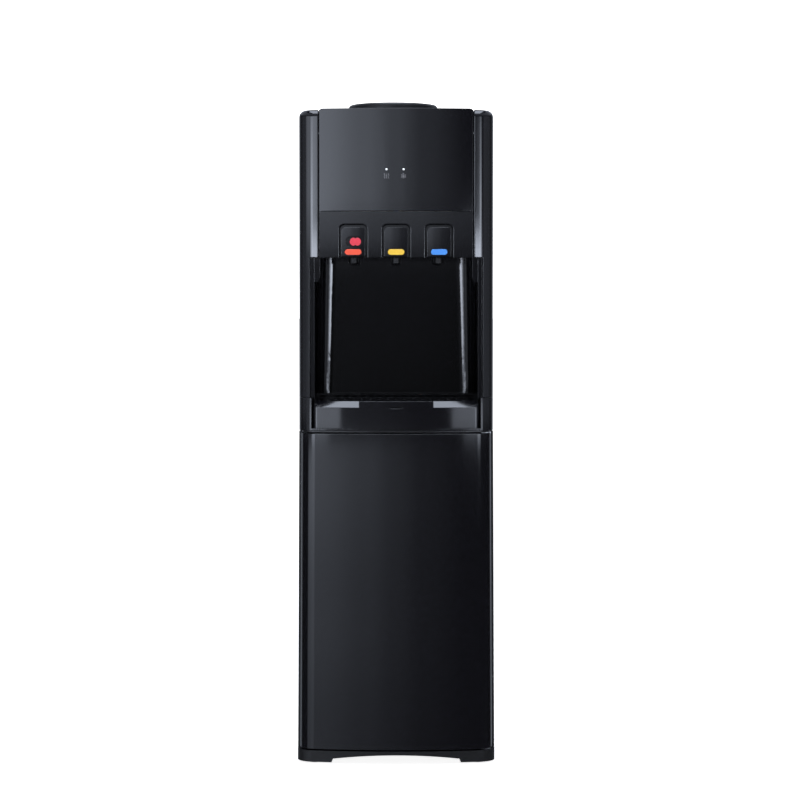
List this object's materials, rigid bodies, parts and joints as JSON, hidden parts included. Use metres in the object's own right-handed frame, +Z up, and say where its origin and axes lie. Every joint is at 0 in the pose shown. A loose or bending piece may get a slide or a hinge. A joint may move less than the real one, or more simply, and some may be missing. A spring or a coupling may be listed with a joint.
{
  "type": "water dispenser",
  "caption": "Free-standing top-loading water dispenser with a lit fascia, push taps over an open alcove, a slide-out drip tray and a storage cabinet with a bowed door.",
  "frame": {"origin": "on the floor, under the middle of the machine's outline", "axes": "+Z up, the front with the taps faces -Y, +X to the right of a person facing the front"},
  "size_m": [0.3116, 0.344, 1.044],
  "materials": {
    "gloss_black": "high gloss",
    "satin_black": "fine satin texture",
    "black_steel": "powder coated, fine grain",
    "inner_plastic": "satin",
    "black_rubber": "matte",
    "zinc_steel": "zinc plated",
    "stainless": "brushed",
    "foam": "rigid foam",
    "copper": "drawn copper",
    "silicone": "translucent",
    "red_plastic": "gloss",
    "lock_red": "gloss",
    "yellow_plastic": "gloss",
    "blue_plastic": "gloss",
    "lamp_lens": "clear",
    "circuit_green": "solder mask",
    "white_plastic": "satin",
    "spring_steel": "bright wire"
  },
  "bodies": {
    "housing": {"base_plinth": "satin_black", "foot_pads": "black_rubber", "side_panel_left": "black_steel", "side_panel_right": "black_steel", "cabinet_liner": "inner_plastic", "lower_rear_panel": "black_steel", "hinge_bracket_lower": "zinc_steel", "hinge_bracket_upper": "zinc_steel", "magnet_catch": "satin_black", "mid_deck": "black_steel", "tray_housing": "gloss_black", "alcove_liner": "gloss_black", "pillar_left": "gloss_black", "pillar_right": "gloss_black", "upper_side_left": "black_steel", "upper_side_right": "black_steel", "top_cover": "satin_black", "fascia": "gloss_black", "lamp_board": "circuit_green", "lamp_lenses": "lamp_lens", "button_panel": "gloss_black", "cold_tank": "stainless", "cold_tank_foam": "foam", "evaporator_coil": "copper", "hot_tank": "stainless", "heater_band": "zinc_steel", "water_hoses": "silicone", "compressor": "black_steel", "compressor_mounts": "black_rubber", "filter_dryer": "copper", "refrigerant_pipes": "copper", "condenser_grid": "black_steel", "upper_rear_panel": "black_steel", "switch_housings": "satin_black", "drain_spout": "white_plastic", "cord_gland": "black_rubber", "rear_screws": "zinc_steel", "hot_spring": "spring_steel", "hot_tap": "satin_black", "ambient_spring": "spring_steel", "ambient_tap": "satin_black", "cold_spring": "spring_steel", "cold_tap": "satin_black"},
    "door": {"door_skin": "gloss_black", "door_inner": "inner_plastic", "strike_plate": "zinc_steel"},
    "tray": {"drip_tray": "gloss_black"},
    "grille": {"drip_grille": "gloss_black"},
    "hot_key": {"hot_button": "gloss_black", "hot_marker": "red_plastic"},
    "ambient_key": {"ambient_button": "gloss_black", "ambient_marker": "yellow_plastic"},
    "cold_key": {"cold_button": "gloss_black", "cold_marker": "blue_plastic"},
    "lock_slider": {"child_lock": "lock_red"},
    "heat_rocker": {"heat_switch": "red_plastic"},
    "cool_rocker": {"cool_switch": "blue_plastic"},
    "drain_plug": {"drain_cap": "satin_black"},
    "seat": {"bottle_seat": "satin_black", "bottle_probe": "satin_black"}
  },
  "joints": [
    {"name": "door_swing", "type": "hinge", "parent": "housing", "child": "door", "pos_m": [0.142, -0.14, 0.272], "axis": [0, 0, 1], "range_deg": [0, 110]},
    {"name": "tray_slide", "type": "slide", "parent": "housing", "child": "tray", "axis": [0, -1, 0], "range_m": [0, 0.11]},
    {"name": "grille_lift", "type": "slide", "parent": "tray", "child": "grille", "axis": [0, 0, 1], "range_m": [0, 0.03]},
    {"name": "hot_press", "type": "slide", "parent": "housing", "child": "hot_key", "axis": [0, 1, 0], "range_m": [0, 0.005], "stiffness_N_per_m": 700, "springref_m": -0.002, "deforming": ["hot_spring"]},
    {"name": "ambient_press", "type": "slide", "parent": "housing", "child": "ambient_key", "axis": [0, 1, 0], "range_m": [0, 0.005], "stiffness_N_per_m": 700, "springref_m": -0.002, "deforming": ["ambient_spring"]},
    {"name": "cold_press", "type": "slide", "parent": "housing", "child": "cold_key", "axis": [0, 1, 0], "range_m": [0, 0.005], "stiffness_N_per_m": 700, "springref_m": -0.002, "deforming": ["cold_spring"]},
    {"name": "lock_slide", "type": "slide", "parent": "hot_key", "child": "lock_slider", "axis": [-1, 0, 0], "range_m": [0, 0.006]},
    {"name": "heat_rock", "type": "hinge", "parent": "housing", "child": "heat_rocker", "pos_m": [0.062, 0.146, 0.7], "axis": [1, 0, 0], "range_deg": [0, 16]},
    {"name": "cool_rock", "type": "hinge", "parent": "housing", "child": "cool_rocker", "pos_m": [0.1, 0.146, 0.7], "axis": [1, 0, 0], "range_deg": [0, 16]},
    {"name": "drain_pull", "type": "slide", "parent": "housing", "child": "drain_plug", "axis": [0, 1, 0], "range_m": [0, 0.014]},
    {"name": "seat_lift", "type": "slide", "parent": "housing", "child": "seat", "axis": [0, 0, 1], "range_m": [0, 0.06]}
  ]
}
